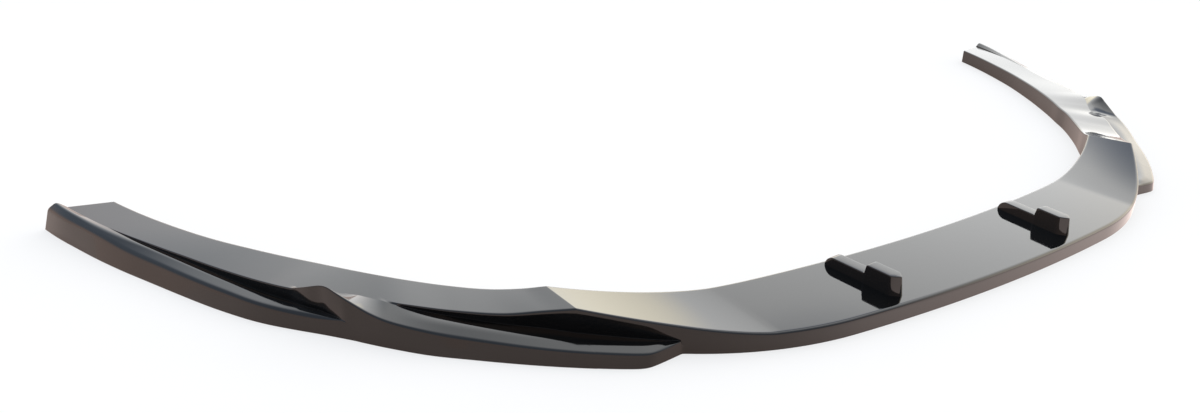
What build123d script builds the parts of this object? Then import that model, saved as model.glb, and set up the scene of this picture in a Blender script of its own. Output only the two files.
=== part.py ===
from build123d import *
import math
import os

# Front splitter lip for a car bumper: one moulded sheet, hollow and open underneath.
# Lengths are in millimetres and angles in degrees. While it is drawn, the middle of the
# front edge stands at x = 0, y = 0 on the ground, and y grows towards the car. One half
# is drawn, at x above 0, and mirrored.

# Plan of the front edge: a long nose arc, a corner arc, then the arm
NOSE_RADIUS = 2200.0
NOSE_HALF = 205.0
CORNER_RADIUS = 355.0
CORNER_TURN = 32.0
ARM_RADIUS = 1172.0
OVERALL_DEPTH = 684.0
WING_WIDTH = 32.0

# Plan of the edge towards the car
PLATE_DEPTH = 109.0
INNER_NOSE_HALF = 245.0
INNER_CORNER_RADIUS = 545.0
END_WIDTH = 77.0
END_SLANT = 12.0

# The sheet, the plate and the ramp that climbs from the plate to the crease
SHEET = 4.0
PLATE_HEIGHT = 18.0
RAMP_START = 290.0
CREASE_X = 448.0
CREASE_FRONT_HEIGHT = 43.0
CREASE_REAR_HEIGHT = 37.0
RAMP_FRONT_POWER = 1.2
RAMP_REAR_POWER = 1.45

# Shelf of the arm behind the crease: share of the way to the rear end, inset of its wall from
# the outer arc, height there, inset of its edge towards the car, height there
SHELF = (
    (0.044, 34.0, 37.0, 83.0, 31.5),
    (0.10, 32.5, 31.0, 82.0, 28.0),
    (0.17, 32.0, 29.0, 81.5, 27.0),
    (0.24, 31.5, 29.5, 81.5, 27.0),
    (0.30, 35.0, 27.0, 83.0, 26.5),
    (0.35, 30.0, 28.5, 83.0, 26.8),
    (0.41, 22.5, 30.5, 83.0, 27.0),
    (0.47, 25.0, 28.5, 82.5, 26.7),
    (0.58, 31.0, 26.0, 81.0, 25.8),
    (0.66, 33.0, 25.7, 79.0, 25.0),
    (0.80, 30.0, 26.0, 76.0, 24.2),
)
SHELF_END = (24.0, 25.0, 24.0)

# Winglet outside the wall: share of its length, inset of its foot and of its outer top edge from
# the outer arc, height of that edge, height of its inner side
WING_START_X = 410.0
WING_SWEEP = 18.2
WING = (
    (0.00, 4.5, 7.0, 14.0, 14.0),
    (0.22, 1.5, 4.5, 16.0, 16.0),
    (0.44, -0.5, 5.0, 19.0, 19.5),
    (0.55, -2.0, 4.0, 21.5, 22.0),
    (0.66, -0.5, 5.0, 25.0, 26.0),
    (0.72, 0.8, 8.5, 28.5, 27.5),
    (0.77, 2.0, 12.0, 33.5, 28.5),
    (0.83, 2.8, 16.0, 40.5, 29.0),
    (0.87, 7.5, 18.5, 44.8, 28.5),
    (0.92, 12.5, 19.5, 40.5, 27.0),
    (1.00, 23.0, 24.5, 29.0, 26.0),
)

# Rear lip outside the wall: share of its length, inset of its foot and of its outer top edge
# from the outer arc, height of that edge, of its crown and of its inner side
LIP_SWEEP = 25.2
LIP_CROWN = 0.25
LIP_DEPTH = 42.0
LIP = (
    (0.00, 2.0, 7.0, 18.0, 17.5, 16.0),
    (0.07, 1.8, 6.2, 16.2, 16.0, 14.5),
    (0.21, -2.0, 3.2, 18.2, 17.8, 13.5),
    (0.32, -0.3, 7.0, 19.5, 19.4, 16.5),
    (0.44, 3.1, 11.5, 19.9, 20.3, 19.0),
    (0.54, 4.6, 14.0, 20.3, 21.2, 21.5),
    (0.65, 3.9, 14.0, 21.3, 23.0, 24.0),
    (0.75, 2.7, 13.5, 24.0, 25.6, 25.0),
    (0.83, 1.5, 11.5, 25.3, 27.3, 24.0),
    (0.93, -1.3, 6.8, 25.0, 30.3, 19.0),
    (1.00, -2.7, 5.0, 23.0, 31.8, 13.0),
)

# Fins that stand on the plate: a tall block with a pointed nose, then a low bar
FIN_X = 138.0
FIN_TOE = 5.0
FIN_THICKNESS = 15.0
FIN_FRONT = 20.0
FIN_NOSE = 7.0
FIN_BLOCK_LENGTH = 39.0
FIN_BLOCK_LEAN = 2.0
FIN_LENGTH = 89.0
FIN_BLOCK_HEIGHT = 20.8
FIN_BAR_HEIGHT = 11.0

# Sections in each form, how far one form runs into its neighbour before they are joined,
# and how far all run below the ground before the underside is cut level
SECTIONS = 24
OVERLAP = 8.0
UNDERCUT = 6.0

# Centres of the plan arcs, each arc tangent to the one before it
nose_turn = math.asin(NOSE_HALF / NOSE_RADIUS)
corner_turn = math.radians(CORNER_TURN)
corner_x = (NOSE_RADIUS - CORNER_RADIUS) * math.sin(nose_turn)
corner_y = NOSE_RADIUS - (NOSE_RADIUS - CORNER_RADIUS) * math.cos(nose_turn)
wall_radius = ARM_RADIUS - WING_WIDTH
arm_x = corner_x + (CORNER_RADIUS - wall_radius) * math.sin(corner_turn)
arm_y = corner_y - (CORNER_RADIUS - wall_radius) * math.cos(corner_turn)
inner_turn = math.asin(INNER_NOSE_HALF / NOSE_RADIUS)
inner_x = (NOSE_RADIUS - INNER_CORNER_RADIUS) * math.sin(inner_turn)
inner_y = PLATE_DEPTH + NOSE_RADIUS - (NOSE_RADIUS - INNER_CORNER_RADIUS) * math.cos(inner_turn)


def below(centre_x, centre_y, radius, x):
    """Return y of the lower half of a circle at x."""
    return centre_y - math.sqrt(radius ** 2 - (x - centre_x) ** 2)


def front_edge(x, inset):
    """Return y of the plate's front edge at x, moved inwards by inset."""
    if x <= (NOSE_RADIUS - inset) * math.sin(nose_turn):
        return below(0, NOSE_RADIUS, NOSE_RADIUS - inset, x)
    if x <= corner_x + (CORNER_RADIUS - inset) * math.sin(corner_turn):
        return below(corner_x, corner_y, CORNER_RADIUS - inset, x)
    return below(arm_x, arm_y, wall_radius - inset, x)


def rear_edge(x, inset):
    """Return y of the plate's edge towards the car at x, moved inwards by inset."""
    if x <= (NOSE_RADIUS + inset) * math.sin(inner_turn):
        return below(0, PLATE_DEPTH + NOSE_RADIUS, NOSE_RADIUS + inset, x)
    return below(inner_x, inner_y, INNER_CORNER_RADIUS + inset, x)


def on_arm(angle, inset):
    """Return the plan point of the arm at a polar angle, inset from its outer edge."""
    reach = ARM_RADIUS - inset
    turn = math.radians(angle)
    return arm_x + reach * math.cos(turn), arm_y + reach * math.sin(turn)


def arm_polar(x, y):
    """Return the polar angle of a plan point and its inset from the arm's outer edge."""
    angle = math.degrees(math.atan2(y - arm_y, x - arm_x))
    return angle, ARM_RADIUS - math.hypot(x - arm_x, y - arm_y)


# Polar angles where the arm's lines begin and end
wing_angle = -math.degrees(math.acos((WING_START_X - arm_x) / ARM_RADIUS))
end_angle = math.degrees(math.asin((OVERALL_DEPTH - arm_y) / ARM_RADIUS))
end_x, end_y = on_arm(end_angle, 0)


def end_polar(width):
    """Return the polar angle and inset of a point of the slanted rear end."""
    return arm_polar(end_x - width, end_y - END_SLANT * width / END_WIDTH)


def smooth(rows, share):
    """Return the values at a share of the way along rows of (share, values)."""
    count = len(rows)
    last = next(i for i in range(1, count) if share <= rows[i][0] or i == count - 1)
    start, stop = rows[last - 1], rows[last]
    before = rows[max(last - 2, 0)]
    after = rows[min(last + 1, count - 1)]
    step = stop[0] - start[0]
    t = (share - start[0]) / step
    values = []
    for a, b, c, d in zip(before[1:], start[1:], stop[1:], after[1:]):
        leave = (c - a) / (stop[0] - before[0]) * step
        arrive = (d - b) / (after[0] - start[0]) * step
        bend = (2 * b + leave - 2 * c + arrive) * t ** 3
        values.append(b + leave * t + (3 * c - 3 * b - 2 * leave - arrive) * t ** 2 + bend)
    return values


def section(*tops, lean=0.0):
    """Return an upright face under a line of points, its first side leaning out below by lean."""
    first, last = Vector(*tops[0]), Vector(*tops[-1])
    outwards = Vector(first.X - last.X, first.Y - last.Y, 0).normalized()
    drop = (first.Z + UNDERCUT) / first.Z
    out = first + outwards * lean * drop
    foot = [(last.X, last.Y, -UNDERCUT), (out.X, out.Y, -UNDERCUT)]
    return Face(Wire.make_polygon([*tops, *foot], close=True))


def shares():
    """Return evenly spaced shares from 0 to 1, one for each section."""
    return [step / SECTIONS for step in range(SECTIONS + 1)]


def arc_between(edge, start, end, inset):
    """Return the arc of a plan edge between two values of x."""
    xs = (start, (start + end) / 2, end)
    return ThreePointArc(*[(x, edge(x, inset)) for x in xs])


def plate(inset):
    """Return half of the flat plate, or its hollow where inset is the sheet."""
    nose = (NOSE_RADIUS - inset) * math.sin(nose_turn)
    inner = (NOSE_RADIUS + inset) * math.sin(inner_turn)
    edges = [
        arc_between(front_edge, 0, nose, inset),
        arc_between(front_edge, nose, RAMP_START, inset),
        Line((RAMP_START, front_edge(RAMP_START, inset)), (RAMP_START, rear_edge(RAMP_START, inset))),
        arc_between(rear_edge, RAMP_START, inner, inset),
        arc_between(rear_edge, inner, 0, inset),
        Line((0, rear_edge(0, inset)), (0, front_edge(0, inset))),
    ]
    height = PLATE_HEIGHT - inset + UNDERCUT
    return Pos(0, 0, -UNDERCUT) * extrude(make_face(edges), height)


def ramp(inset):
    """Return the climb from the plate to the crease, or its hollow."""
    faces = []
    for share in shares():
        x = RAMP_START + (CREASE_X - RAMP_START) * share
        front = PLATE_HEIGHT + (CREASE_FRONT_HEIGHT - PLATE_HEIGHT) * share ** RAMP_FRONT_POWER - inset
        rear = PLATE_HEIGHT + (CREASE_REAR_HEIGHT - PLATE_HEIGHT) * share ** RAMP_REAR_POWER - inset
        faces.append(section((x, front_edge(x, inset), front), (x, rear_edge(x, inset), rear)))
    return loft(faces)


def shelf(inset):
    """Return the arm from its upright wall to its edge towards the car, or its hollow."""
    start_wall = arm_polar(CREASE_X, front_edge(CREASE_X, inset))
    start_rear = arm_polar(CREASE_X, rear_edge(CREASE_X, inset))
    end_wall = end_polar(SHELF_END[0])
    end_rear = end_polar(END_WIDTH)
    start = (0.0, start_wall[1] - inset, CREASE_FRONT_HEIGHT, start_rear[1] + inset, CREASE_REAR_HEIGHT)
    end = (1.0, end_wall[1], SHELF_END[1], end_rear[1], SHELF_END[2])
    back = math.degrees(inset / ARM_RADIUS)
    faces = []
    for share in shares():
        in_wall, wall_height, in_rear, rear_height = smooth((start, *SHELF, end), share)
        at_wall = start_wall[0] + (end_wall[0] - back - start_wall[0]) * share
        at_rear = start_rear[0] + (end_rear[0] - back - start_rear[0]) * share
        wall = on_arm(at_wall, in_wall + inset)
        rear = on_arm(at_rear, in_rear - inset)
        faces.append(section((*wall, wall_height - inset), (*rear, rear_height - inset)))
    return loft(faces)


def winglet(inset):
    """Return the winglet that climbs along the front of the arm, or its hollow."""
    start = wing_angle + math.degrees(inset / ARM_RADIUS)
    stop = wing_angle + WING_SWEEP
    inner_start = CORNER_TURN - 90.0 + math.degrees(inset / ARM_RADIUS)
    faces = []
    for share in shares():
        foot, edge, edge_height, inner_height = smooth(WING, share)
        outer = on_arm(start + (stop - start) * share, edge + inset)
        inner = on_arm(inner_start + (stop - inner_start) * share, WING_WIDTH + OVERLAP + inset)
        tops = ((*outer, edge_height - inset), (*inner, inner_height - inset))
        faces.append(section(*tops, lean=edge - foot))
    return loft(faces)


def lip(inset):
    """Return the lip that runs along the rear of the arm, or its hollow."""
    back = math.degrees(inset / ARM_RADIUS)
    depth = LIP_DEPTH + inset
    faces = []
    for share in shares():
        foot, edge, edge_height, crown_height, inner_height = smooth(LIP, share)
        before_end = back + LIP_SWEEP * (1 - share)
        outer = Vector(*on_arm(end_polar(edge + inset)[0] - before_end, edge + inset))
        inner = Vector(*on_arm(end_polar(depth)[0] - before_end, depth))
        crown = outer + (inner - outer) * LIP_CROWN
        tops = ((outer, edge_height), (crown, crown_height), (inner, inner_height))
        faces.append(section(*[(at.X, at.Y, height - inset) for at, height in tops], lean=edge - foot))
    return loft(faces)


def fin(inset):
    """Return a fin, or the core that hollows it from below."""
    reach = FIN_THICKNESS / 2 - inset
    front = inset
    point = FIN_NOSE + inset
    block = FIN_BLOCK_LENGTH - inset
    rear = FIN_LENGTH - inset
    bar_top = FIN_BAR_HEIGHT - inset
    block_top = FIN_BLOCK_HEIGHT - inset
    floor = -SHEET / 2 - 2 * inset
    outline = Polyline(
        (front, floor),
        (front, block_top),
        (block - FIN_BLOCK_LEAN, block_top),
        (block, bar_top),
        (rear - bar_top, bar_top),
    )
    round_end = RadiusArc((rear - bar_top, bar_top), (rear, 0), bar_top)
    foot = Polyline((rear, 0), (rear, floor), (front, floor))
    side = make_face([*outline.edges(), round_end, *foot.edges()])
    body = extrude(Plane.YZ * side, reach, both=True)
    corners = ((0, front), (reach, point), (reach, rear), (-reach, rear), (-reach, point))
    plan = make_face(Polyline(*corners, close=True))
    return body & Pos(0, 0, floor) * extrude(plan, block_top - floor)


forms = (plate, ramp, shelf, winglet, lip)
fin_place = Pos(FIN_X, FIN_FRONT, PLATE_HEIGHT) * Rot(0, 0, -FIN_TOE)
skin = sum([form(0.0) for form in forms], Part()) + fin_place * fin(0.0)
hollow = sum([form(SHEET) for form in forms], Part()) + fin_place * fin(SHEET)
ground = Pos(0, 0, -UNDERCUT) * Box(4 * ARM_RADIUS, 4 * ARM_RADIUS, 2 * UNDERCUT)
right_half = skin - hollow - ground
middle_y = right_half.bounding_box().max.Y / 2
splitter_lip = Pos(0, -middle_y, 0) * (right_half + mirror(right_half, Plane.YZ))

os.makedirs("parts", exist_ok=True)
export_step(splitter_lip, "parts/splitter_lip.step")
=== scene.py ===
"""Front splitter lip: one gloss black moulding on a pale studio floor.

The moulding is a profile carried along the plan of the lip. All lengths are in metres, angles in
degrees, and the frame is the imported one: x across the car, y towards the car, z up.
"""

import logging
from dataclasses import dataclass
from enum import Enum

import bpy
import numpy as np
from mathutils import Matrix, Vector


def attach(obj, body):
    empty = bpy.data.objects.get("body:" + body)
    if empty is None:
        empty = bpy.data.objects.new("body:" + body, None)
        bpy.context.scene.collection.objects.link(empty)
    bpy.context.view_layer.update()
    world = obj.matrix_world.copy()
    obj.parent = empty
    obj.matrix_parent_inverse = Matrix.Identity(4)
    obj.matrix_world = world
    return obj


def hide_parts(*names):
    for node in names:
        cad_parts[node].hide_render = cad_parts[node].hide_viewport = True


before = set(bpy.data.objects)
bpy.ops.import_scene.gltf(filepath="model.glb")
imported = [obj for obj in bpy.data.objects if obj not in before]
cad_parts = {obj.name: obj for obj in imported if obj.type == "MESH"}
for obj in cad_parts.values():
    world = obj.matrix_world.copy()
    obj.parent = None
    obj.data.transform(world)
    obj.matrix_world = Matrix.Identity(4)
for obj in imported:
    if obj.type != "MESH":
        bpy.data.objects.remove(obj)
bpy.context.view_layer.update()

log = logging.getLogger("splitter_lip")
NODE = "splitter_lip"
SLOT = "gloss_black"
BODY = "root"
WHITE = (1.0, 1.0, 1.0)
UP = (0.0, 0.0, 1.0)
Span = tuple[float, float]
Triple = tuple[float, float, float]
Runs = tuple[tuple[float, float, int], ...]
Rows = tuple[tuple[float, ...], ...]


class Side(Enum):
    """Which side of the car's middle plane a mirrored form is on."""

    RIGHT = 1.0
    LEFT = -1.0


class Corner(Enum):
    """Corners of the moulding's profile, from the outer foot over the top to the inner foot."""

    FOOT = 0
    LIP = 1
    CROWN = 2
    LEDGE = 3
    BLADE = 4
    BROW = 5
    GROOVE = 6
    SHELF = 7
    REAR = 8
    HEEL = 9


def smooth(rows: Rows, share: np.ndarray) -> np.ndarray:
    """Give the values of a table at many places, by a cubic that passes through every row.

    Args:
        rows: Rows of (share, value, value ...), in rising order of share.
        share: Where to read the table.

    Returns:
        One row of values for each share.
    """
    table = np.array(rows)
    knots, values = table[:, 0], table[:, 1:]
    stop = np.clip(np.searchsorted(knots, share), 1, len(knots) - 1)
    start = stop - 1
    before = np.maximum(start - 1, 0)
    after = np.minimum(stop + 1, len(knots) - 1)
    step = (knots[stop] - knots[start])[:, None]
    t = (np.clip(share, knots[0], knots[-1])[:, None] - knots[start][:, None]) / step
    leave = (values[stop] - values[before]) / (knots[stop] - knots[before])[:, None] * step
    arrive = (values[after] - values[start]) / (knots[after] - knots[start])[:, None] * step
    rise = values[stop] - values[start]
    square = 3 * rise - 2 * leave - arrive
    return values[start] + leave * t + square * t**2 + (leave + arrive - 2 * rise) * t**3


def ease(low: float, high: float, value: np.ndarray) -> np.ndarray:
    """Give a smooth step: 0 up to low, 1 from high on, or the other way round if low is larger.

    Args:
        low: Value where the step begins.
        high: Value where it ends.
        value: Where to read the step.

    Returns:
        Weights from 0 to 1.
    """
    t = np.clip((value - low) / (high - low), 0.0, 1.0)
    return t * t * (3.0 - 2.0 * t)


def soft_floor(value: np.ndarray, width: float) -> np.ndarray:
    """Give the larger of value and 0, with the bend between them rounded over width.

    Args:
        value: Lengths that may fall below 0.
        width: Length over which the bend is rounded.

    Returns:
        Lengths above 0.
    """
    return 0.5 * (value + np.sqrt(value**2 + width**2))


def samples(runs: Runs) -> np.ndarray:
    """Give rising values from runs of even steps.

    Args:
        runs: Runs of (first, last, count); each run leaves its last value to the next.

    Returns:
        All values, the last run's last one included.
    """
    parts = [np.linspace(first, last, count, endpoint=False) for first, last, count in runs]
    return np.append(np.concatenate(parts), runs[-1][1])


def mesh_object(name: str, verts: np.ndarray, faces: list[list[int]]) -> bpy.types.Object:
    """Make a smooth-shaded object at the origin from vertices and faces.

    Args:
        name: Name of the object and its mesh.
        verts: Vertices, one row each.
        faces: Vertex numbers of each face.

    Returns:
        The object, linked to the scene.
    """
    mesh = bpy.data.meshes.new(name)
    mesh.from_pydata(verts.tolist(), [], faces)
    mesh.validate()
    mesh.polygons.foreach_set("use_smooth", np.ones(len(mesh.polygons), dtype=bool))
    mesh.update()
    obj = bpy.data.objects.new(name, mesh)
    bpy.context.scene.collection.objects.link(obj)
    return obj


def grid_faces(rows: int, columns: int, first: int = 0, flip: bool = False) -> np.ndarray:
    """Number the quads of a grid whose vertices are stored row by row.

    Args:
        rows: Rows of the grid.
        columns: Vertices in each row.
        first: Number of the grid's first vertex.
        flip: Whether the faces look to the other side.

    Returns:
        Four vertex numbers for each quad.
    """
    number = first + np.arange(rows * columns).reshape(rows, columns)
    quads = np.stack([number[:-1, :-1], number[1:, :-1], number[1:, 1:], number[:-1, 1:]], axis=-1)
    quads = quads.reshape(-1, 4)
    return quads[:, ::-1] if flip else quads


def strip_faces(one: np.ndarray, other: np.ndarray) -> np.ndarray:
    """Number the quads of a strip between two lines of vertices.

    Args:
        one: Vertex numbers along one line.
        other: Vertex numbers along the other line.

    Returns:
        Four vertex numbers for each quad.
    """
    return np.stack([one[:-1], other[:-1], other[1:], one[1:]], axis=-1)


def smooth_step(
    tree: bpy.types.NodeTree, value: bpy.types.NodeSocket, span: Span
) -> bpy.types.NodeSocket:
    """Add a node that steps smoothly from 0 to 1.

    Args:
        tree: Node tree to add it to.
        value: The socket of the value that it reads.
        span: Values at which the step begins and ends.

    Returns:
        The socket of the step.
    """
    node = tree.nodes.new("ShaderNodeMapRange")
    node.interpolation_type = "SMOOTHSTEP"
    node.inputs["From Min"].default_value, node.inputs["From Max"].default_value = span
    tree.links.new(value, node.inputs["Value"])
    return node.outputs["Result"]


def combine(
    tree: bpy.types.NodeTree, operation: str, one: bpy.types.NodeSocket, other: bpy.types.NodeSocket | float
) -> bpy.types.NodeSocket:
    """Add a node that combines two values.

    Args:
        tree: Node tree to add it to.
        operation: What it does with them.
        one: The socket of the first value.
        other: The socket of the second value, or the value itself.

    Returns:
        The socket of the result.
    """
    node = tree.nodes.new("ShaderNodeMath")
    node.operation = operation
    tree.links.new(one, node.inputs[0])
    if isinstance(other, float):
        node.inputs[1].default_value = other
    else:
        tree.links.new(other, node.inputs[1])
    return node.outputs["Value"]


def blend(
    tree: bpy.types.NodeTree,
    share: bpy.types.NodeSocket,
    under: bpy.types.NodeSocket | Triple,
    over: bpy.types.NodeSocket | Triple,
) -> bpy.types.NodeSocket:
    """Add a node that lays one colour over another by a share.

    Args:
        tree: Node tree to add it to.
        share: The socket of the share.
        under: The colour below, or its socket.
        over: The colour laid over it, or its socket.

    Returns:
        The socket of the mixed colour.
    """
    node = tree.nodes.new("ShaderNodeMix")
    node.data_type = "RGBA"
    tree.links.new(share, node.inputs["Factor"])
    for name, colour in (("A", under), ("B", over)):
        if isinstance(colour, tuple):
            node.inputs[name].default_value = (*colour, 1.0)
        else:
            tree.links.new(colour, node.inputs[name])
    return node.outputs["Result"]


@dataclass(frozen=True)
class Plan:
    """Plan of the lip: a nose arc, a corner arc and a swept arm, and the edge towards the car.

    Here y is measured from the front of the nose, and the frame's origin lies at middle.
    """

    nose_radius: float = 2.2
    nose_half: float = 0.205
    corner_radius: float = 0.355
    corner_turn: float = 32.0
    arm_radius: float = 1.172
    depth: float = 0.684
    middle: float = 0.34212
    wing_width: float = 0.032
    plate_depth: float = 0.109
    inner_nose_half: float = 0.245
    inner_corner_radius: float = 0.545
    end_width: float = 0.077
    end_slant: float = 0.012

    @property
    def corner_centre(self) -> np.ndarray:
        """Centre of the corner arc, tangent to the nose arc."""
        turn = np.arcsin(self.nose_half / self.nose_radius)
        reach = self.nose_radius - self.corner_radius
        return np.array([reach * np.sin(turn), self.nose_radius - reach * np.cos(turn)])

    @property
    def wall_radius(self) -> float:
        """Radius of the arm's upright wall where it leaves the corner."""
        return self.arm_radius - self.wing_width

    @property
    def arm_centre(self) -> np.ndarray:
        """Centre of the arm's arcs, tangent to the corner arc at its end."""
        turn = np.radians(self.corner_turn)
        reach = self.corner_radius - self.wall_radius
        return self.corner_centre + reach * np.array([np.sin(turn), -np.cos(turn)])

    @property
    def inner_centre(self) -> np.ndarray:
        """Centre of the corner arc of the edge towards the car."""
        turn = np.arcsin(self.inner_nose_half / self.nose_radius)
        reach = self.nose_radius - self.inner_corner_radius
        rise = self.plate_depth + self.nose_radius
        return np.array([reach * np.sin(turn), rise - reach * np.cos(turn)])

    @staticmethod
    def below(centre: np.ndarray, radius: float, x: np.ndarray) -> np.ndarray:
        """Give y of the lower half of a circle, held level outside its width.

        Args:
            centre: Centre of the circle.
            radius: Its radius.
            x: Where to read it.

        Returns:
            One y for each x.
        """
        return centre[1] - np.sqrt(np.maximum(radius**2 - (x - centre[0]) ** 2, 0.0))

    def front_edge(self, x: np.ndarray) -> np.ndarray:
        """Give y of the front edge of the plate, along the wall once the corner has ended.

        Args:
            x: Distances from the middle plane.

        Returns:
            One y for each x.
        """
        corner_end = self.corner_centre[0] + self.corner_radius * np.sin(np.radians(self.corner_turn))
        nose = self.below(np.array([0.0, self.nose_radius]), self.nose_radius, x)
        corner = self.below(self.corner_centre, self.corner_radius, x)
        wall = self.below(self.arm_centre, self.wall_radius, x)
        return np.where(x <= self.nose_half, nose, np.where(x <= corner_end, corner, wall))

    def rear_edge(self, x: np.ndarray) -> np.ndarray:
        """Give y of the plate's edge towards the car.

        Args:
            x: Distances from the middle plane.

        Returns:
            One y for each x.
        """
        nose = self.below(np.array([0.0, self.plate_depth + self.nose_radius]), self.nose_radius, x)
        corner = self.below(self.inner_centre, self.inner_corner_radius, x)
        return np.where(x <= self.inner_nose_half, nose, corner)

    def on_arm(self, angle: np.ndarray | float, inset: np.ndarray | float) -> np.ndarray:
        """Give plan points of the arm.

        Args:
            angle: Polar angles about the arm's centre.
            inset: Distances inwards from the arm's outer edge.

        Returns:
            One (x, y) for each angle.
        """
        turn = np.radians(angle)
        reach = self.arm_radius - inset
        return self.arm_centre + np.stack([reach * np.cos(turn), reach * np.sin(turn)], axis=-1)

    def arm_polar(self, points: np.ndarray) -> tuple[np.ndarray, np.ndarray]:
        """Give the polar angle of plan points and their inset from the arm's outer edge.

        Args:
            points: Plan points, one (x, y) each.

        Returns:
            The angles and the insets.
        """
        away = points - self.arm_centre
        angle = np.degrees(np.arctan2(away[..., 1], away[..., 0]))
        return angle, self.arm_radius - np.hypot(away[..., 0], away[..., 1])

    def end_polar(self, width: np.ndarray) -> tuple[np.ndarray, np.ndarray]:
        """Give the polar angle and inset of points of the slanted rear end.

        Args:
            width: Distances from the outer edge along the end.

        Returns:
            The angles and the insets.
        """
        turn = np.arcsin((self.depth - self.arm_centre[1]) / self.arm_radius)
        corner = self.arm_centre + self.arm_radius * np.array([np.cos(turn), np.sin(turn)])
        slope = np.array([-1.0, -self.end_slant / self.end_width])
        return self.arm_polar(corner + np.asarray(width)[..., None] * slope)


@dataclass
class Stations:
    """Places along the lip at which its profile is set, each with a line across the lip.

    Attributes:
        wall: Plan points of the upright wall.
        across: Directions of the lines in plan, from the wall towards the car.
        width: Lengths of the lines, from the wall to the rear edge.
        wall_height: Heights of the top at the wall.
        rear_height: Heights of the top at the rear edge.
        on_arm: Shares of the arm's length, 0 on the plate.
        before_end: Distances to the rear end along the arm.
    """

    wall: np.ndarray
    across: np.ndarray
    width: np.ndarray
    wall_height: np.ndarray
    rear_height: np.ndarray
    on_arm: np.ndarray
    before_end: np.ndarray


@dataclass
class Blade:
    """The winglet at every station.

    Attributes:
        arc: Plan points of the arm's outer arc.
        along: Shares of the winglet's length.
        foot_inset: Insets of its foot from the outer arc.
        foot: Distances of its leaning face's foot outside the wall.
        edge: Distances of its top edge outside the wall.
        height: Heights of its top edge.
        tail: Shares by which it has folded back into the shelf, behind the peak.
    """

    arc: np.ndarray
    along: np.ndarray
    foot_inset: np.ndarray
    foot: np.ndarray
    edge: np.ndarray
    height: np.ndarray
    tail: np.ndarray


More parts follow.
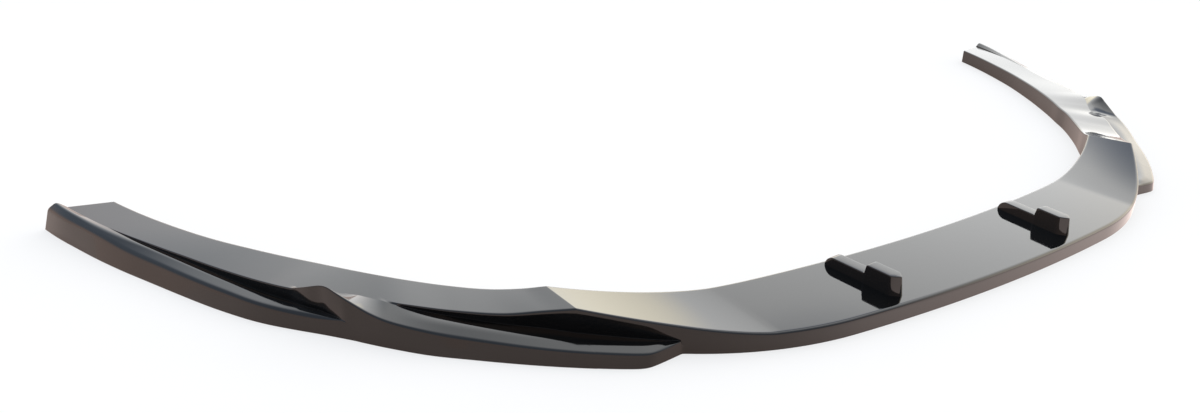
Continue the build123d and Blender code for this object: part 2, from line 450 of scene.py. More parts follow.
@dataclass
class Moulding:
    """The moulded sheet: plate, ramps, shelves, winglets and rear lips in one skin.

    A pair named for a rise, a fade, a drop or room holds the two values between which a smooth step runs.
    """

    plan: Plan
    sheet: float = 0.004
    plate_height: float = 0.018

    # Ramp from the plate to the crease: heights and powers for the wall and for the rear edge
    ramp_start: float = 0.290
    crease_x: float = 0.448
    crease_heights: Span = (0.043, 0.037)
    ramp_powers: Span = (1.2, 1.45)

    # Shelf: share of the arm's length, inset and height of the wall, inset and height of the rear edge
    shelf: Rows = (
        (0.044, 0.034, 0.037, 0.083, 0.0315),
        (0.10, 0.0325, 0.031, 0.082, 0.028),
        (0.17, 0.032, 0.029, 0.0815, 0.027),
        (0.24, 0.0315, 0.0295, 0.0815, 0.027),
        (0.30, 0.035, 0.027, 0.083, 0.0265),
        (0.35, 0.030, 0.0285, 0.083, 0.0268),
        (0.41, 0.0225, 0.0305, 0.083, 0.027),
        (0.47, 0.025, 0.0285, 0.0825, 0.0267),
        (0.58, 0.031, 0.026, 0.081, 0.0258),
        (0.66, 0.033, 0.0257, 0.079, 0.025),
        (0.80, 0.030, 0.026, 0.076, 0.0242),
    )
    # At the rear end: the wall's distance from the outer edge, heights of the wall and the rear edge
    shelf_end: Triple = (0.024, 0.025, 0.024)

    # Winglet: share of its length, insets of its foot and edge, heights at its edge and its root
    wing_start_x: float = 0.410
    wing_sweep: float = 18.2
    wing_root: float = 0.040
    wing: Rows = (
        (0.00, 0.0045, 0.007, 0.014, 0.014),
        (0.22, 0.0015, 0.0045, 0.016, 0.016),
        (0.44, -0.0005, 0.005, 0.019, 0.0195),
        (0.55, -0.002, 0.004, 0.0215, 0.022),
        (0.66, -0.0005, 0.005, 0.025, 0.026),
        (0.72, 0.0008, 0.0085, 0.0285, 0.0275),
        (0.77, 0.002, 0.012, 0.0335, 0.0285),
        (0.83, 0.0028, 0.016, 0.0405, 0.029),
        (0.87, 0.0075, 0.0185, 0.0448, 0.0285),
        (0.92, 0.0125, 0.0195, 0.0405, 0.027),
        (1.00, 0.023, 0.0245, 0.029, 0.026),
    )
    wing_round: float = 0.006
    wing_bend: float = 0.0008
    wing_recess: float = 0.0085
    recess_rise: Span = (0.775, 0.84)
    recess_fade: Span = (0.99, 0.86)
    peak_rise: Span = (0.80, 0.86)
    tip_fade: Span = (1.0, 0.965)
    tail_rise: Span = (0.0035, 0.0003)
    beyond: float = 1.0

    # Brow: the crown of the winglet's top, by share of its length and by its width
    brow: float = 0.0022
    brow_place: float = 0.45
    brow_drop: float = 0.25
    brow_fade: Span = (0.66, 0.46)
    brow_rise: Span = (0.003, 0.020)

    # Groove between winglet and shelf: steps run over the winglet's height above the wall's top
    meet_rise: Span = (-0.003, 0.0)
    groove_rise: Span = (-0.001, 0.002)
    spread_rise: Span = (0.0, 0.004)
    groove_spread: Span = (0.0015, 0.004)
    groove_slope: float = 0.4
    groove_bend: float = 0.0004
    groove_most: float = 0.010
    tail_groove: float = 0.006
    tail_shelf: float = 0.012

    # Undercut of the wall: it grows over x towards the crease, and with the winglet's depth below the shelf
    undercut: float = 0.0028
    undercut_rise: Span = (0.385, 0.445)
    undercut_drop: Span = (-0.003, -0.009)

    # Rear lip: share of its length, insets of its foot and edge, heights at edge, crown and inner side
    lip_sweep: float = 25.2
    lip_crown: float = 0.25
    lip_depth: float = 0.042
    lip: Rows = (
        (0.00, 0.002, 0.007, 0.018, 0.0175, 0.016),
        (0.07, 0.0018, 0.0062, 0.0162, 0.016, 0.0145),
        (0.21, -0.002, 0.0032, 0.0182, 0.0178, 0.0135),
        (0.32, -0.0003, 0.007, 0.0195, 0.0194, 0.0165),
        (0.44, 0.0031, 0.0115, 0.0199, 0.0203, 0.019),
        (0.54, 0.0046, 0.014, 0.0203, 0.0212, 0.0215),
        (0.65, 0.0039, 0.014, 0.0213, 0.023, 0.024),
        (0.75, 0.0027, 0.0135, 0.024, 0.0256, 0.025),
        (0.83, 0.0015, 0.0115, 0.0253, 0.0273, 0.024),
        (0.93, -0.0013, 0.0068, 0.0258, 0.0303, 0.019),
        (1.00, -0.0027, 0.005, 0.0260, 0.0318, 0.013),
    )
    lip_rise: Span = (-0.012, 0.012)
    lip_room: Span = (0.0002, 0.0030)
    lip_brow: float = 0.0014
    lip_brow_rise: Span = (0.003, 0.012)
    ridge_place: float = 0.72
    ridge_rise: Span = (0.60, 0.85)

    # Corners where a form is absent: shares of the height of the face that they lie on, and the
    # distances of the foot outside the wall over which the winglet takes the plain wall's place
    low_levels: Triple = (0.40, 0.42, 0.44)
    blade_level: float = 0.40
    groove_level: float = 0.50
    wing_rise: Span = (0.0003, 0.0020)

    # Rounding: radii in the order of Corner, the most of a side that a curve or its support may take,
    # and the support's length as a share of the radius and a length added to it
    radii: tuple[float, ...] = (0.0, 0.0036, 0.009, 0.0002, 0.0024, 0.012, 0.0002, 0.0034, 0.0026, 0.0)
    curve_most: float = 0.38
    support: Span = (0.4, 0.0001)
    support_most: float = 0.10
    rim_share: float = 0.04
    rim_reach: float = 0.02
    least_side: float = 1e-7
    least_height: float = 0.3
    arc_steps: int = 5
    top_steps: int = 8
    end_round: float = 0.0025

    # Stations: runs of x on the plate and of share on the arm, and the last distances before the end
    plate_runs: Runs = (
        (0.0, 0.290, 40),
        (0.290, 0.356, 16),
        (0.356, 0.376, 20),
        (0.376, 0.404, 10),
        (0.404, 0.416, 12),
        (0.416, 0.444, 10),
        (0.444, 0.4465, 3),
        (0.4465, 0.448, 3),
    )
    arm_runs: Runs = (
        (0.0007, 0.0021, 2),
        (0.0021, 0.0056, 3),
        (0.0056, 0.180, 32),
        (0.180, 0.480, 76),
        (0.480, 0.960, 40),
        (0.960, 0.992, 6),
    )
    end_steps: tuple[float, ...] = (0.0040, 0.0025, 0.0015, 0.0008, 0.0003, 0.0)

    def stations(self) -> Stations:
        """Set the stations of the right half, from the middle plane to the rear end.

        On the plate a station is a line along y. On the arm it joins a point of the wall to a point
        of the inner edge, both moved evenly in angle from the crease to the slanted end.

        Returns:
            The stations.
        """
        plan = self.plan
        x = samples(self.plate_runs)
        front = np.stack([x, plan.front_edge(x)], axis=-1)
        rear = np.stack([x, plan.rear_edge(x)], axis=-1)
        climb = np.clip((x - self.ramp_start) / (self.crease_x - self.ramp_start), 0.0, 1.0)
        rise = np.array(self.crease_heights) - self.plate_height
        plate_heights = self.plate_height + rise * climb[:, None] ** np.array(self.ramp_powers)

        end_wall = plan.end_polar(np.array(self.shelf_end[0]))
        end_rear = plan.end_polar(np.array(plan.end_width))
        start_wall, start_rear = plan.arm_polar(front[-1]), plan.arm_polar(rear[-1])
        length = plan.arm_radius * np.radians(end_wall[0] - start_wall[0])
        tail = 1.0 - np.array(self.end_steps) / length
        t = np.append(samples(self.arm_runs), tail)
        front_height, rear_height = self.crease_heights
        first = (0.0, float(start_wall[1]), front_height, float(start_rear[1]), rear_height)
        last = (1.0, float(end_wall[1]), self.shelf_end[1], float(end_rear[1]), self.shelf_end[2])
        inset, wall_height, rear_inset, rear_height = smooth((first, *self.shelf, last), t).T
        arm_wall = plan.on_arm(start_wall[0] + (end_wall[0] - start_wall[0]) * t, inset)
        arm_rear = plan.on_arm(start_rear[0] + (end_rear[0] - start_rear[0]) * t, rear_inset)

        wall = np.concatenate([front, arm_wall])
        span = np.concatenate([rear, arm_rear]) - wall
        width = np.hypot(span[:, 0], span[:, 1])
        return Stations(
            wall=wall,
            across=span / width[:, None],
            width=width,
            wall_height=np.append(plate_heights[:, 0], wall_height),
            rear_height=np.append(plate_heights[:, 1], rear_height),
            on_arm=np.append(np.zeros(len(x)), t),
            before_end=np.append(np.full(len(x), length), (1.0 - t) * length),
        )

    def to_arc(self, at: Stations, inset: np.ndarray | float) -> np.ndarray:
        """Measure how far outside the wall each station's line meets the arm's outer arc.

        Args:
            at: The stations.
            inset: How far the arc is moved inwards, for each station.

        Returns:
            One length for each station, below 0 where the arc lies inside the wall.
        """
        away = at.wall - self.plan.arm_centre
        along = np.sum(away * at.across, axis=1)
        room = along**2 + (self.plan.arm_radius - inset) ** 2 - np.sum(away**2, axis=1)
        return along + np.sqrt(np.maximum(room, 0.0))

    def reach(self, at: Stations, inset: np.ndarray) -> np.ndarray:
        """Measure how far a line of the moulding lies outside the wall along each station's line.

        The line follows the arm's outer arc, moved in by inset, and at the front the straight front end
        of the winglet; the two are joined by a rounded smaller-of-two. Stations of the arm never meet the
        front end, which is put beyond them.

        Args:
            at: The stations.
            inset: How far the line lies inside the outer arc, for each station.

        Returns:
            One length for each station, 0 where there is no winglet.
        """
        plan = self.plan
        to_arc = self.to_arc(at, inset)
        outer = plan.on_arm(self.wing_start(), self.wing[0][2])
        inner = plan.on_arm(plan.corner_turn - 90.0, self.wing_root)
        slope = (inner[1] - outer[1]) / (inner[0] - outer[0])
        to_end = at.wall[:, 1] - outer[1] - slope * (at.wall[:, 0] - outer[0])
        to_end = np.where(at.on_arm > 0.0, self.beyond, to_end)
        gap = to_arc - to_end
        corner = 0.5 * (to_arc + to_end) - 0.5 * np.sqrt(gap**2 + self.wing_round**2)
        return soft_floor(corner, self.wing_bend)

    def wing_start(self) -> float:
        """Give the polar angle at which the winglet's outer edge begins.

        Returns:
            The angle.
        """
        plan = self.plan
        return -float(np.degrees(np.arccos((self.wing_start_x - plan.arm_centre[0]) / plan.arm_radius)))

    def wing_share(self, points: np.ndarray) -> np.ndarray:
        """Give the share of the winglet's length at plan points.

        The share runs from the winglet's slanted front end to its tip, evenly in angle.

        Args:
            points: Plan points.

        Returns:
            Shares from 0 to 1.
        """
        angle, inset = self.plan.arm_polar(points)
        root = np.clip(inset / self.wing_root, 0.0, 1.0)
        start = self.wing_start() + (self.plan.corner_turn - 90.0 - self.wing_start()) * root
        stop = self.wing_start() + self.wing_sweep
        return np.clip((angle - start) / (stop - start), 0.0, 1.0)

    def blade(self, at: Stations) -> Blade:
        """Place the winglet's foot and top edge at every station.

        Both follow the table along the outer arc. Behind the peak the edge comes down to the shelf and
        draws in to the wall by smooth steps, and the face's foot is set in by the recess.

        Args:
            at: The stations.

        Returns:
            The winglet.
        """
        arc = at.wall - self.to_arc(at, 0.0)[:, None] * at.across
        along = self.wing_share(arc)
        foot_inset, edge_inset = smooth(self.wing, along).T[:2]
        stays = ease(*self.tip_fade, along)
        edge = self.reach(at, edge_inset) * stays
        recess = self.wing_recess * ease(*self.recess_rise, along) * ease(*self.recess_fade, along)
        tip = smooth(self.wing, self.wing_share(at.wall - edge[:, None] * at.across))[:, 2]
        late = ease(*self.peak_rise, along)
        above = tip - at.wall_height
        return Blade(
            arc=arc,
            along=along,
            foot_inset=foot_inset,
            foot=self.reach(at, foot_inset + recess) * stays,
            edge=edge,
            height=tip + (soft_floor(above, self.wing_bend) * stays - above) * late,
            tail=late * ease(*self.tail_rise, above * stays),
        )

    def valley(self, at: Stations, tail: np.ndarray) -> tuple[np.ndarray, ...]:
        """Place the groove between winglet and shelf, and the shelf's front corner behind it.

        Where the winglet's top stands above the wall's, the groove lies where the two tops cross, its
        height above the wall over the difference of their slopes. Elsewhere it lies at the wall's foot
        on the winglet, set back under the shelf's corner by the undercut near the crease.

        Args:
            at: The stations.
            tail: Shares by which the winglet has folded back into the shelf.

        Returns:
            Distances of the groove and the shelf's corner, and their heights.
        """
        _, edge_inset, edge_height, root_height = smooth(self.wing, self.wing_share(at.wall)).T
        inset = self.plan.arm_polar(at.wall)[1]
        fall = (root_height - edge_height) / (self.wing_root - edge_inset)
        at_wall = edge_height + fall * (inset - edge_inset)
        lean = (at.rear_height - at.wall_height) / at.width
        over = at_wall - at.wall_height
        meets = ease(*self.meet_rise, over)
        cross = soft_floor(over / np.maximum(lean - fall, self.groove_slope), self.groove_bend)
        cross = np.clip(cross * meets, 0.0, self.groove_most)
        narrow, wide = self.groove_spread
        apart = narrow * meets + wide * ease(*self.spread_rise, over)
        under = self.undercut * ease(*self.undercut_rise, at.wall[:, 0]) * ease(*self.undercut_drop, over)
        groove = cross - apart + (self.tail_groove - cross + apart) * tail + under
        shelf = cross + apart + (self.tail_shelf - cross - apart) * tail
        on_wing = at_wall + fall * groove
        on_shelf = at.wall_height + lean * groove
        groove_height = on_wing + (on_shelf - on_wing) * np.maximum(tail, ease(*self.groove_rise, over))
        return groove, shelf, groove_height, at.wall_height + lean * shelf

    def lip_corners(self, at: Stations, share: np.ndarray, blade: Blade) -> tuple[np.ndarray, ...]:
        """Place the rear lip's outer top edge, its crown and its foot against the wall.

        The lip's top falls in straight lines from edge to crown and from crown to its inner side. It is
        cut where it meets the leaning face, found by reading its height there twice.

        Args:
            at: The stations.
            share: Share of the lip's length, for each station.
            blade: The winglet, whose leaning face runs from its foot to its edge.

        Returns:
            Distances and heights of the three corners, and the width of the lip's top.
        """
        _, edge, edge_height, crown_height, inner_height = smooth(self.lip, share).T
        out = self.reach(at, edge)
        crown = self.to_arc(at, edge + (self.lip_depth - edge) * self.lip_crown)
        inner = self.to_arc(at, self.lip_depth)

        def top(away: np.ndarray) -> np.ndarray:
            """Give the height of the lip's top.

            Args:
                away: Distances outside the wall.

            Returns:
                One height for each distance.
            """
            before = edge_height + (crown_height - edge_height) * (out - away) / (out - crown)
            after = crown_height + (inner_height - crown_height) * (crown - away) / (crown - inner)
            return np.where(away > crown, before, after)

        face = blade.edge - blade.foot
        ledge = blade.foot + face * np.clip(top(blade.edge) / blade.height, 0.0, 1.0)
        ledge = blade.foot + face * np.clip(top(ledge) / blade.height, 0.0, 1.0)
        ridge = out - self.ridge_place * (out - ledge)
        ridge = ridge + (np.maximum(crown, ridge) - ridge) * ease(*self.ridge_rise, share)
        distances = np.stack([-out, -ridge, -ledge], axis=1)
        brow = self.lip_brow * ease(*self.lip_brow_rise, out - ledge)
        return distances, np.stack([edge_height, top(ridge) + brow, top(ledge)], axis=1), out - ledge

    def low_corners(self, at: Stations, blade: Blade) -> tuple[np.ndarray, ...]:
        """Place the outer foot and the three corners between it and the winglet's edge.

        Along the rear lip the corners are the lip's. Elsewhere they lie on the straight line from foot
        to edge, and smooth steps lead from one to the other.

        Args:
            at: The stations.
            blade: The winglet.

        Returns:
            Distance of the foot outside the wall, then distances and heights of the three corners.
        """
        plan = self.plan
        share = 1.0 - (plan.end_polar(np.zeros(1))[0] - plan.arm_polar(blade.arc)[0]) / self.lip_sweep
        begun = ease(*self.lip_rise, share)
        lip_foot = smooth(self.lip, share)[:, 0]
        foot = self.reach(at, blade.foot_inset + (lip_foot - blade.foot_inset) * begun)
        low, low_heights, width = self.lip_corners(at, share, blade)
        lipped = (ease(*self.lip_room, width) * begun)[:, None]
        level = np.array(self.low_levels)
        plain = -(foot[:, None] + (blade.edge - foot)[:, None] * level)
        plain_heights = blade.height[:, None] * level
        low = plain + (low - plain) * lipped
        return foot, low, plain_heights + (low_heights - plain_heights) * lipped

    def corners(self, at: Stations) -> tuple[np.ndarray, np.ndarray]:
        """Place the corners of the profile at every station.

        Where a form is absent its corners lie along the flat face that is there instead, so that one
        grid covers the whole moulding. The brow stands by its crest above the straight line from the
        winglet's edge to the groove. Distances are along the station's line, from the wall inwards.

        Args:
            at: The stations.

        Returns:
            Distances and heights, a row for each station and a column for each corner.
        """
        blade = self.blade(at)
        groove, shelf, groove_height, shelf_height = self.valley(at, blade.tail)
        foot, low, low_heights = self.low_corners(at, blade)

        flat = 1.0 - ease(*self.wing_rise, foot)
        flat_height = self.blade_level * self.plate_height
        groove_height = groove_height + (self.groove_level * self.plate_height - groove_height) * flat
        blade_height = blade.height + (flat_height - blade.height) * flat
        low_flat = flat_height * np.array(self.low_levels)
        low_heights = low_heights + (low_flat - low_heights) * flat[:, None]

        crest = self.brow * ease(*self.brow_fade, blade.along) * ease(*self.brow_rise, blade.edge)
        blade_height = blade_height - self.brow_drop * crest
        inwards = 1.0 - self.brow_place
        brow = inwards * groove - self.brow_place * blade.edge
        brow_height = inwards * groove_height + self.brow_place * blade_height + crest

        none = np.zeros(len(foot))
        distances = (-foot, *low.T, -blade.edge, brow, groove, shelf, at.width, at.width)
        tops = (blade_height, brow_height, groove_height, shelf_height, at.rear_height)
        heights = (none, *low_heights.T, *tops, none)
        return np.stack(distances, axis=1), np.stack(heights, axis=1)

    def shrink(
        self, distances: np.ndarray, heights: np.ndarray, by: np.ndarray
    ) -> tuple[np.ndarray, np.ndarray]:
        """Move a profile's upright faces inwards and its tops down.

        Args:
            distances: Corner distances.
            heights: Corner heights.
            by: How far, for each station.

        Returns:
            The moved distances and heights.
        """
        inwards = np.where(np.arange(distances.shape[1]) < Corner.REAR.value, 1.0, -1.0)
        lowered = np.maximum(heights - by[:, None], self.least_height * heights)
        return distances + by[:, None] * inwards, lowered

    def rounded(self, distances: np.ndarray, heights: np.ndarray) -> np.ndarray:
        """Round the profile's corners and give its points in order.

        Each corner becomes a quadratic curve between points set back along its two sides, with one
        more point on each side, and one beside each foot, so that the flat faces are shaded flat.

        Args:
            distances: Corner distances.
            heights: Corner heights.

        Returns:
            Points as (station, point, 2).
        """
        corners = np.stack([distances, heights], axis=-1)
        sides = np.diff(corners, axis=1)
        length = np.maximum(np.linalg.norm(sides, axis=-1, keepdims=True), self.least_side)
        unit = sides / length
        middle, before, after = corners[:, 1:-1], -unit[:, :-1], unit[:, 1:]
        shorter = np.minimum(length[:, :-1], length[:, 1:])
        radius = np.array(self.radii)[None, 1:-1, None]
        back = np.minimum(radius, self.curve_most * shorter)
        extra = np.minimum(self.support[0] * radius + self.support[1], self.support_most * shorter)
        t = np.linspace(0.0, 1.0, self.arc_steps + 1)[None, None, :, None]
        pull = (1.0 - t) ** 2 * before[:, :, None] + t**2 * after[:, :, None]
        arc = middle[:, :, None] + back[:, :, None] * pull
        lead = (middle + (back + extra) * before)[:, :, None]
        trail = (middle + (back + extra) * after)[:, :, None]
        knees = np.concatenate([lead, arc, trail], axis=2)
        top = np.linspace(0.0, 1.0, self.top_steps + 2)[None, 1:-1, None]
        start, stop = trail[:, Corner.SHELF.value - 1], lead[:, Corner.REAR.value - 1]
        across = start + (stop - start) * top
        upto = Corner.SHELF.value
        rim = self.rim_share * np.minimum(self.rim_reach, length)
        return np.concatenate(
            [
                corners[:, :1],
                corners[:, :1] + rim[:, :1] * unit[:, :1],
                knees[:, :upto].reshape(len(corners), -1, 2),
                across,
                knees[:, upto:].reshape(len(corners), -1, 2),
                corners[:, -1:] - rim[:, -1:] * unit[:, -1:],
                corners[:, -1:],
            ],
            axis=1,
        )

    def place(self, at: Stations, points: np.ndarray) -> np.ndarray:
        """Carry profile points to their stations and mirror them into a whole row of stations.

        Args:
            at: The stations of the right half.
            points: Profile points as (station, point, 2).

        Returns:
            Vertices as (station, point, 3), from the left rear end to the right one.
        """
        plan = at.wall[:, None] + points[..., :1] * at.across[:, None]
        right = np.concatenate([plan, points[..., 1:]], axis=-1)
        right[..., 1] -= self.plan.middle
        left = right[:0:-1] * np.array([Side.LEFT.value, 1.0, 1.0])
        return np.concatenate([left, right])

    def build(self) -> bpy.types.Object:
        """Build the closed sheet: outer skin, inner skin one sheet inside it, rims and end walls.

        The inner skin stays under the shelf, so that the blade and the rear lip's crown are solid. At the
        rear ends the outer skin draws in by a quarter of a circle, and the inner one stops short of it.

        Returns:
            The object.
        """
        at = self.stations()
        distances, heights = self.corners(at)
        close = np.clip(1.0 - at.before_end / self.end_round, 0.0, 1.0)
        taper = self.end_round * (1.0 - np.sqrt(1.0 - close**2))
        outer = self.place(at, self.rounded(*self.shrink(distances, heights, taper)))
        extra = len(self.end_steps) - 1
        inset, lowered = self.shrink(distances, heights, np.full(len(taper), self.sheet))
        roof = np.minimum(at.wall_height, at.rear_height)[:, None] - self.sheet
        hollow = np.stack([inset, np.minimum(lowered, roof)], axis=-1)
        inner = self.place(at, hollow)[extra:-extra]

        rows, columns = outer.shape[:2]
        inner_rows, inner_columns = inner.shape[:2]
        out = np.arange(rows * columns).reshape(rows, columns)
        core = rows * columns + np.arange(inner_rows * inner_columns).reshape(inner_rows, inner_columns)
        common = out[extra:-extra]
        quads = np.concatenate(
            [
                grid_faces(rows, columns),
                grid_faces(inner_rows, inner_columns, rows * columns, flip=True),
                strip_faces(common[:, 0], core[:, 0]),
                strip_faces(core[:, -1], common[:, -1]),
            ]
        )
        faces = quads.tolist()
        for last, turn in ((0, 1), (-1, -1)):
            foot = out[: extra + 1, 0] if last == 0 else out[-extra - 1 :, 0][::-1]
            heel = out[: extra + 1, -1] if last == 0 else out[-extra - 1 :, -1][::-1]
            rim = [*foot[::-1], *heel, core[last, -1], core[last, 0]]
            faces.append([int(i) for i in out[last][::turn]])
            faces.append([int(i) for i in core[last][::-turn]])
            faces.append([int(i) for i in rim[::turn]])
        verts = np.concatenate([outer.reshape(-1, 3), inner.reshape(-1, 3)])
        return mesh_object("splitter_lip_skin", verts, faces)


@dataclass
class Fin:
    """An upright fin on the plate: a tall block with a pointed nose, then a low bar."""

    plate_height: float
    middle: float
    side: Side
    x: float = 0.138
    toe: float = 5.0
    thickness: float = 0.015
    front: float = 0.020
    nose: float = 0.007
    nose_share: float = 0.06
    block_length: float = 0.039
    block_lean: float = 0.002
    length: float = 0.089
    block_height: float = 0.0208
    bar_height: float = 0.011
    sink: float = 0.002
    draft: float = 0.0015
    rake: float = 0.0025
    edge: float = 0.0012
    edge_share: float = 0.45
    edge_steps: int = 5
    foot_row: float = 0.04
    top_start: float = 0.003
    top_points: int = 14
    bar_points: int = 8
    bend_steps: int = 4
    end_steps: int = 12

    def outline(self) -> np.ndarray:
        """Give the top line seen from the side, with its corners rounded.

        A rounded corner is a quadratic curve between points set back along its two sides, and the bar
        ends in a quarter of a circle.

        Returns:
            Points as (distance from the nose, height).
        """
        step = np.linspace(0.0, 1.0, self.bend_steps + 1)[:, None]
        ahead, down = np.array([1.0, 0.0]), np.array([0.0, -1.0])

        def bend(corner: np.ndarray, before: np.ndarray, after: np.ndarray) -> np.ndarray:
            """Round a corner.

            Args:
                corner: The corner.
                before: Direction from the corner to where the curve begins.
                after: Direction from the corner to where it ends.

            Returns:
                Points of the curve.
            """
            return corner + self.edge * (1.0 - step) ** 2 * before + self.edge * step**2 * after

        def level(start: float, stop: float, height: float, count: int) -> np.ndarray:
            """Give even points of a level stretch.

            Args:
                start: Distance from the nose where it begins.
                stop: Distance where it ends.
                height: Its height.
                count: Number of points.

            Returns:
                The points.
            """
            return np.stack([np.linspace(start, stop, count), np.full(count, height)], axis=1)

        shoulder = self.block_length - self.block_lean
        fall = np.array([self.block_lean, self.bar_height - self.block_height])
        fall = fall / np.hypot(*fall)
        turn = np.radians(90.0 * np.linspace(0.0, 1.0, self.end_steps + 1))
        quarter = np.stack([np.sin(turn), np.cos(turn)], axis=1) * self.bar_height
        bar_end = self.length - self.bar_height
        bar_start = self.block_length + 2.0 * self.edge
        return np.concatenate(
            [
                bend(np.array([0.0, self.block_height]), down, ahead),
                level(self.top_start, shoulder - 2.0 * self.edge, self.block_height, self.top_points),
                bend(np.array([shoulder, self.block_height]), -ahead, fall),
                bend(np.array([self.block_length, self.bar_height]), -fall, ahead),
                level(bar_start, bar_end, self.bar_height, self.bar_points),
                quarter[1:] + bar_end * ahead,
            ]
        )

    def build(self) -> bpy.types.Object:
        """Carry an upright section, square with rounded top edges, along the outline, and close it.

        The sides widen downwards by the draft, and at the nose the base runs forward by the rake. A row
        just above the base keeps the sides' shading flat.

        Returns:
            The object.
        """
        outline = self.outline()
        half = 0.5 * self.thickness * np.clip(outline[:, 0] / self.nose, self.nose_share, 1.0)
        top = outline[:, 1]
        rim = np.minimum(self.edge, self.edge_share * half)
        drop = np.minimum(rim, 0.5 * (top + self.sink))
        t = np.linspace(0.0, 1.0, self.edge_steps + 1)
        foot = np.array([0.0, self.foot_row])
        wider = self.draft * np.clip((top + self.sink) / self.block_height, 0.0, 1.0)
        side = -half[:, None] - wider[:, None] * (1.0 - foot)
        across = np.concatenate([side, -half[:, None] + rim[:, None] * t**2], axis=1)
        side = (top - drop + self.sink)[:, None] * foot - self.sink
        rise = np.concatenate([side, top[:, None] - drop[:, None] * (1.0 - t) ** 2], axis=1)
        across = np.concatenate([across, -across[:, ::-1]], axis=1)
        rise = np.concatenate([rise, rise[:, ::-1]], axis=1)
        turn = np.radians(self.toe)
        along = outline[:, :1] + np.zeros_like(across)
        lean = self.rake * ease(2.0 * self.nose, 0.0, outline[:, :1]) * (1.0 - foot)
        along[:, :2] -= lean
        along[:, -2:] -= lean[:, ::-1]
        x = self.side.value * (self.x + across * np.cos(turn) + along * np.sin(turn))
        y = self.front - across * np.sin(turn) + along * np.cos(turn) - self.middle
        verts = np.stack([x, y, self.plate_height + rise], axis=-1)
        number = np.arange(across.size).reshape(across.shape)
        quads = np.concatenate([grid_faces(*across.shape), strip_faces(number[:, 0], number[:, -1])])
        faces = [*quads.tolist(), number[0].tolist(), number[-1, ::-1].tolist()]
        if self.side is Side.RIGHT:
            faces = [face[::-1] for face in faces]
        return mesh_object(f"fin_{self.side.name.lower()}", verts.reshape(-1, 3), faces)


@dataclass(frozen=True)
class GlossBlack:
    """Gloss black moulded plastic: deep black with a faint moulding ripple and handling haze.

    Each pair of waves is the number of them to the metre and the number of octaves.
    """

    dark: Triple = (0.0021, 0.0019, 0.0018)
    light: Triple = (0.0045, 0.0040, 0.0037)
    tint_waves: Span = (9.0, 3.0)
    smoothest: float = 0.045
    roughest: float = 0.085
    haze_waves: Span = (28.0, 4.0)
    haze_span: Span = (0.3, 0.7)
    ior: float = 1.52
    ripple: float = 0.00002
    ripple_waves: Span = (240.0, 1.0)
    ripple_strength: float = 0.25

    def wear_group(self) -> bpy.types.NodeTree:
        """Make the shared group that gives tint, roughness and ripple from object coordinates.

        Returns:
            The node group.
        """
        group = bpy.data.node_groups.new("MouldedGloss", "ShaderNodeTree")
        for name in ("Tint", "Roughness", "Ripple"):
            group.interface.new_socket(name=name, in_out="OUTPUT", socket_type="NodeSocketFloat")
        nodes, links = group.nodes, group.links
        out = nodes.new("NodeGroupOutput")
        where = nodes.new("ShaderNodeTexCoord")

        def noise(scale: float, detail: float) -> bpy.types.NodeSocket:
            """Add a noise texture in object coordinates.

            Args:
                scale: Waves to the metre.
                detail: Octaves.

            Returns:
                The socket of the noise.
            """
            node = nodes.new("ShaderNodeTexNoise")
            node.inputs["Scale"].default_value = scale
            node.inputs["Detail"].default_value = detail
            links.new(where.outputs["Object"], node.inputs["Vector"])
            return node.outputs["Fac"]

        links.new(noise(*self.tint_waves), out.inputs["Tint"])
        haze = nodes.new("ShaderNodeMapRange")
        haze.inputs["From Min"].default_value, haze.inputs["From Max"].default_value = self.haze_span
        haze.inputs["To Min"].default_value = self.smoothest
        haze.inputs["To Max"].default_value = self.roughest
        links.new(noise(*self.haze_waves), haze.inputs["Value"])
        links.new(haze.outputs["Result"], out.inputs["Roughness"])
        links.new(noise(*self.ripple_waves), out.inputs["Ripple"])
        return group

    def material(self) -> bpy.types.Material:
        """Make the finish.

        Returns:
            The material.
        """
        material = bpy.data.materials.new(SLOT)
        material.use_nodes = True
        tree = material.node_tree
        nodes, links = tree.nodes, tree.links
        shader = nodes["Principled BSDF"]
        shader.inputs["IOR"].default_value = self.ior
        wear = nodes.new("ShaderNodeGroup")
        wear.node_tree = self.wear_group()
        bump = nodes.new("ShaderNodeBump")
        bump.inputs["Strength"].default_value = self.ripple_strength
        bump.inputs["Distance"].default_value = self.ripple
        links.new(blend(tree, wear.outputs["Tint"], self.dark, self.light), shader.inputs["Base Color"])
        links.new(wear.outputs["Roughness"], shader.inputs["Roughness"])
        links.new(wear.outputs["Ripple"], bump.inputs["Height"])
        links.new(bump.outputs["Normal"], shader.inputs["Normal"])
        return material


@dataclass(frozen=True)
class Panel:
    """A soft studio panel: a rectangle of even light that faces a point."""

    name: str
    place: Triple
    aim: Triple
    size: Span
    level: float
    colour: Triple = WHITE

    def build(self) -> bpy.types.Object:
        """Add the panel to the scene.

        Returns:
            The lamp object.
        """
        lamp = bpy.data.lights.new(self.name, "AREA")
        lamp.shape = "RECTANGLE"
        lamp.size, lamp.size_y = self.size
        lamp.energy = self.level * np.pi * self.size[0] * self.size[1]
        lamp.color = self.colour
        obj = bpy.data.objects.new(self.name, lamp)
        bpy.context.scene.collection.objects.link(obj)
        obj.location = self.place
        look = Vector(self.aim) - Vector(self.place)
        obj.rotation_euler = look.to_track_quat("-Z", "Y").to_euler()
        return obj


@dataclass(frozen=True)
class Patch:
    """A patch of the room's light: its colour, its middle's direction and the cosines it spreads over."""

    colour: Triple
    way: Triple
    spread: Span


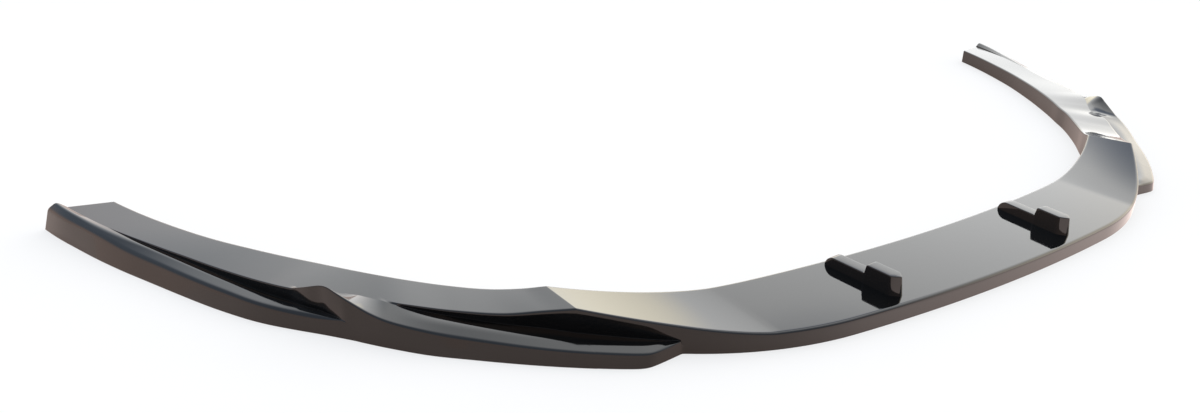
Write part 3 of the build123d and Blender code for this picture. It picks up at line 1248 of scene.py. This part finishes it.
@dataclass
class Studio:
    """Pale floor, the light of the room, soft panels and the camera."""

    panels: tuple[Panel, ...]
    floor_half: float = 12.0
    floor_drop: float = 0.0005
    floor_colour: Triple = (0.86, 0.85, 0.84)
    floor_roughness: float = 0.9
    floor_glow: float = 0.72
    floor_warmth: Triple = (1.0, 0.74, 0.63)
    bright_warmth: Triple = (2.1, 1.69, 1.55)
    bright_across: Span = (-0.40, -0.10)
    bright_along: Span = (-0.20, -0.29)
    room_colour: Triple = (0.50, 0.60, 0.74)
    horizon_colour: Triple = (1.05, 0.81, 0.72)
    horizon_rise: Span = (0.12, 0.45)
    window: Patch = Patch((2.9, 2.93, 2.93), (0.84, 0.447, 0.309), (0.18, 1.05))
    glow: Patch = Patch((3.4, 3.1, 2.6), (0.981, -0.173, 0.087), (0.72, 0.97))
    gap: Patch = Patch((0.85, 0.97, 1.2), (0.591, 0.479, 0.649), (0.976, 1.0))
    cloud: Patch = Patch((3.8, 3.57, 2.95), (0.591, 0.782, 0.195), (0.985, 0.9995))
    camera_place: Triple = (-0.7673, -0.8003, 0.4345)
    forward: Triple = (0.4662, 0.7890, -0.4002)
    lens: float = 25.17

    def floor(self) -> bpy.types.Object:
        """Lay the floor: white to the eye, warm in reflections and brighter there ahead of the nose.

        Part of what is seen is its own glow and the rest is lit, so that it keeps a soft shadow.

        Returns:
            The floor object.
        """
        half, low = self.floor_half, -self.floor_drop
        verts = np.array([(-half, -half, low), (half, -half, low), (half, half, low), (-half, half, low)])
        floor = mesh_object("studio_floor", verts, [[0, 1, 2, 3]])
        material = bpy.data.materials.new("studio_floor")
        material.use_nodes = True
        tree = material.node_tree
        nodes, links = tree.nodes, tree.links
        shader = nodes["Principled BSDF"]
        shader.inputs["Base Color"].default_value = (*self.floor_colour, 1.0)
        shader.inputs["Roughness"].default_value = self.floor_roughness
        shader.inputs["Specular IOR Level"].default_value = 0.0
        axes = nodes.new("ShaderNodeSeparateXYZ")
        links.new(nodes.new("ShaderNodeTexCoord").outputs["Object"], axes.inputs["Vector"])
        across = smooth_step(tree, axes.outputs["X"], self.bright_across)
        along = smooth_step(tree, axes.outputs["Y"], self.bright_along)
        ahead = combine(tree, "MULTIPLY", across, along)
        path = nodes.new("ShaderNodeLightPath")
        glossy = path.outputs["Is Glossy Ray"]
        mirrored = blend(tree, ahead, self.floor_warmth, self.bright_warmth)
        glow = nodes.new("ShaderNodeEmission")
        links.new(blend(tree, glossy, WHITE, mirrored), glow.inputs["Color"])
        seen = combine(tree, "MAXIMUM", path.outputs["Is Camera Ray"], glossy)
        seen = combine(tree, "MAXIMUM", seen, path.outputs["Is Transmission Ray"])
        mix = nodes.new("ShaderNodeMixShader")
        links.new(combine(tree, "MULTIPLY", seen, self.floor_glow), mix.inputs["Fac"])
        links.new(shader.outputs["BSDF"], mix.inputs[1])
        links.new(glow.outputs["Emission"], mix.inputs[2])
        links.new(mix.outputs["Shader"], nodes["Material Output"].inputs["Surface"])
        floor.data.materials.append(material)
        return floor

    def world(self) -> bpy.types.World:
        """Set the light of the room: cool and dim above, warm low down, bright towards a wide window.

        The warmth grows as the height of the direction falls, and a patch's light with the cosine of the
        angle to its middle, all by smooth steps. Over the window lie a low glow to its right, a cooler gap
        above it and a small warm cloud to its left. The eye sees white.

        Returns:
            The world.
        """
        world = bpy.data.worlds.new("studio")
        world.use_nodes = True
        tree = world.node_tree
        where = tree.nodes.new("ShaderNodeTexCoord")

        def towards(way: Triple, span: Span) -> bpy.types.NodeSocket:
            """Add a smooth step over the cosine of the angle to a direction.

            Args:
                way: The direction.
                span: Cosines at which the step begins and ends.

            Returns:
                The socket of the step.
            """
            angle = tree.nodes.new("ShaderNodeVectorMath")
            angle.operation = "DOT_PRODUCT"
            angle.inputs[1].default_value = way
            tree.links.new(where.outputs["Generated"], angle.inputs[0])
            return smooth_step(tree, angle.outputs["Value"], span)

        light = blend(tree, towards(UP, self.horizon_rise), self.horizon_colour, self.room_colour)
        for patch in (self.window, self.glow, self.gap, self.cloud):
            light = blend(tree, towards(patch.way, patch.spread), light, patch.colour)
        path = tree.nodes.new("ShaderNodeLightPath")
        seen = blend(tree, path.outputs["Is Camera Ray"], light, WHITE)
        tree.links.new(seen, tree.nodes["Background"].inputs["Color"])
        bpy.context.scene.world = world
        return world

    def camera(self) -> bpy.types.Object:
        """Set the camera where the photograph was taken from.

        Returns:
            The camera object.
        """
        data = bpy.data.cameras.new("camera")
        data.lens = self.lens
        data.sensor_fit = "HORIZONTAL"
        camera = bpy.data.objects.new("camera", data)
        bpy.context.scene.collection.objects.link(camera)
        ahead = Vector(self.forward).normalized()
        right = ahead.cross(Vector(UP)).normalized()
        turn = Matrix((right, right.cross(ahead), -ahead)).transposed()
        camera.matrix_world = Matrix.Translation(self.camera_place) @ turn.to_4x4()
        bpy.context.scene.camera = camera
        return camera

    def build(self) -> None:
        """Build floor, world, panels and camera."""
        self.floor()
        self.world()
        for panel in self.panels:
            panel.build()
        self.camera()
        bpy.context.scene.view_settings.view_transform = "Standard"


@dataclass
class SplitterLip:
    """The whole part: the moulding and its two fins, dressed in one finish."""

    plan: Plan
    finish: GlossBlack

    def build(self) -> list[bpy.types.Object]:
        """Build the pieces and dress them.

        Returns:
            The pieces.
        """
        moulding = Moulding(self.plan)
        fins = [Fin(moulding.plate_height, self.plan.middle, side).build() for side in Side]
        pieces = [moulding.build(), *fins]
        material = self.finish.material()
        for piece in pieces:
            piece.data.materials.append(material)
            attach(piece, BODY)
            log.info("%s: %d faces", piece.name, len(piece.data.polygons))
        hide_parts(NODE)
        return pieces


def main() -> None:
    """Build the part and the studio."""
    logging.basicConfig(level=logging.INFO, format="%(message)s")
    SplitterLip(Plan(), GlossBlack()).build()
    top_panel = Panel("top_panel", place=(-0.2, -0.4, 2.6), aim=(0.0, 0.0, 0.0), size=(2.4, 2.0), level=0.2)
    Studio((top_panel,)).build()


if __name__ == "__main__":
    main()
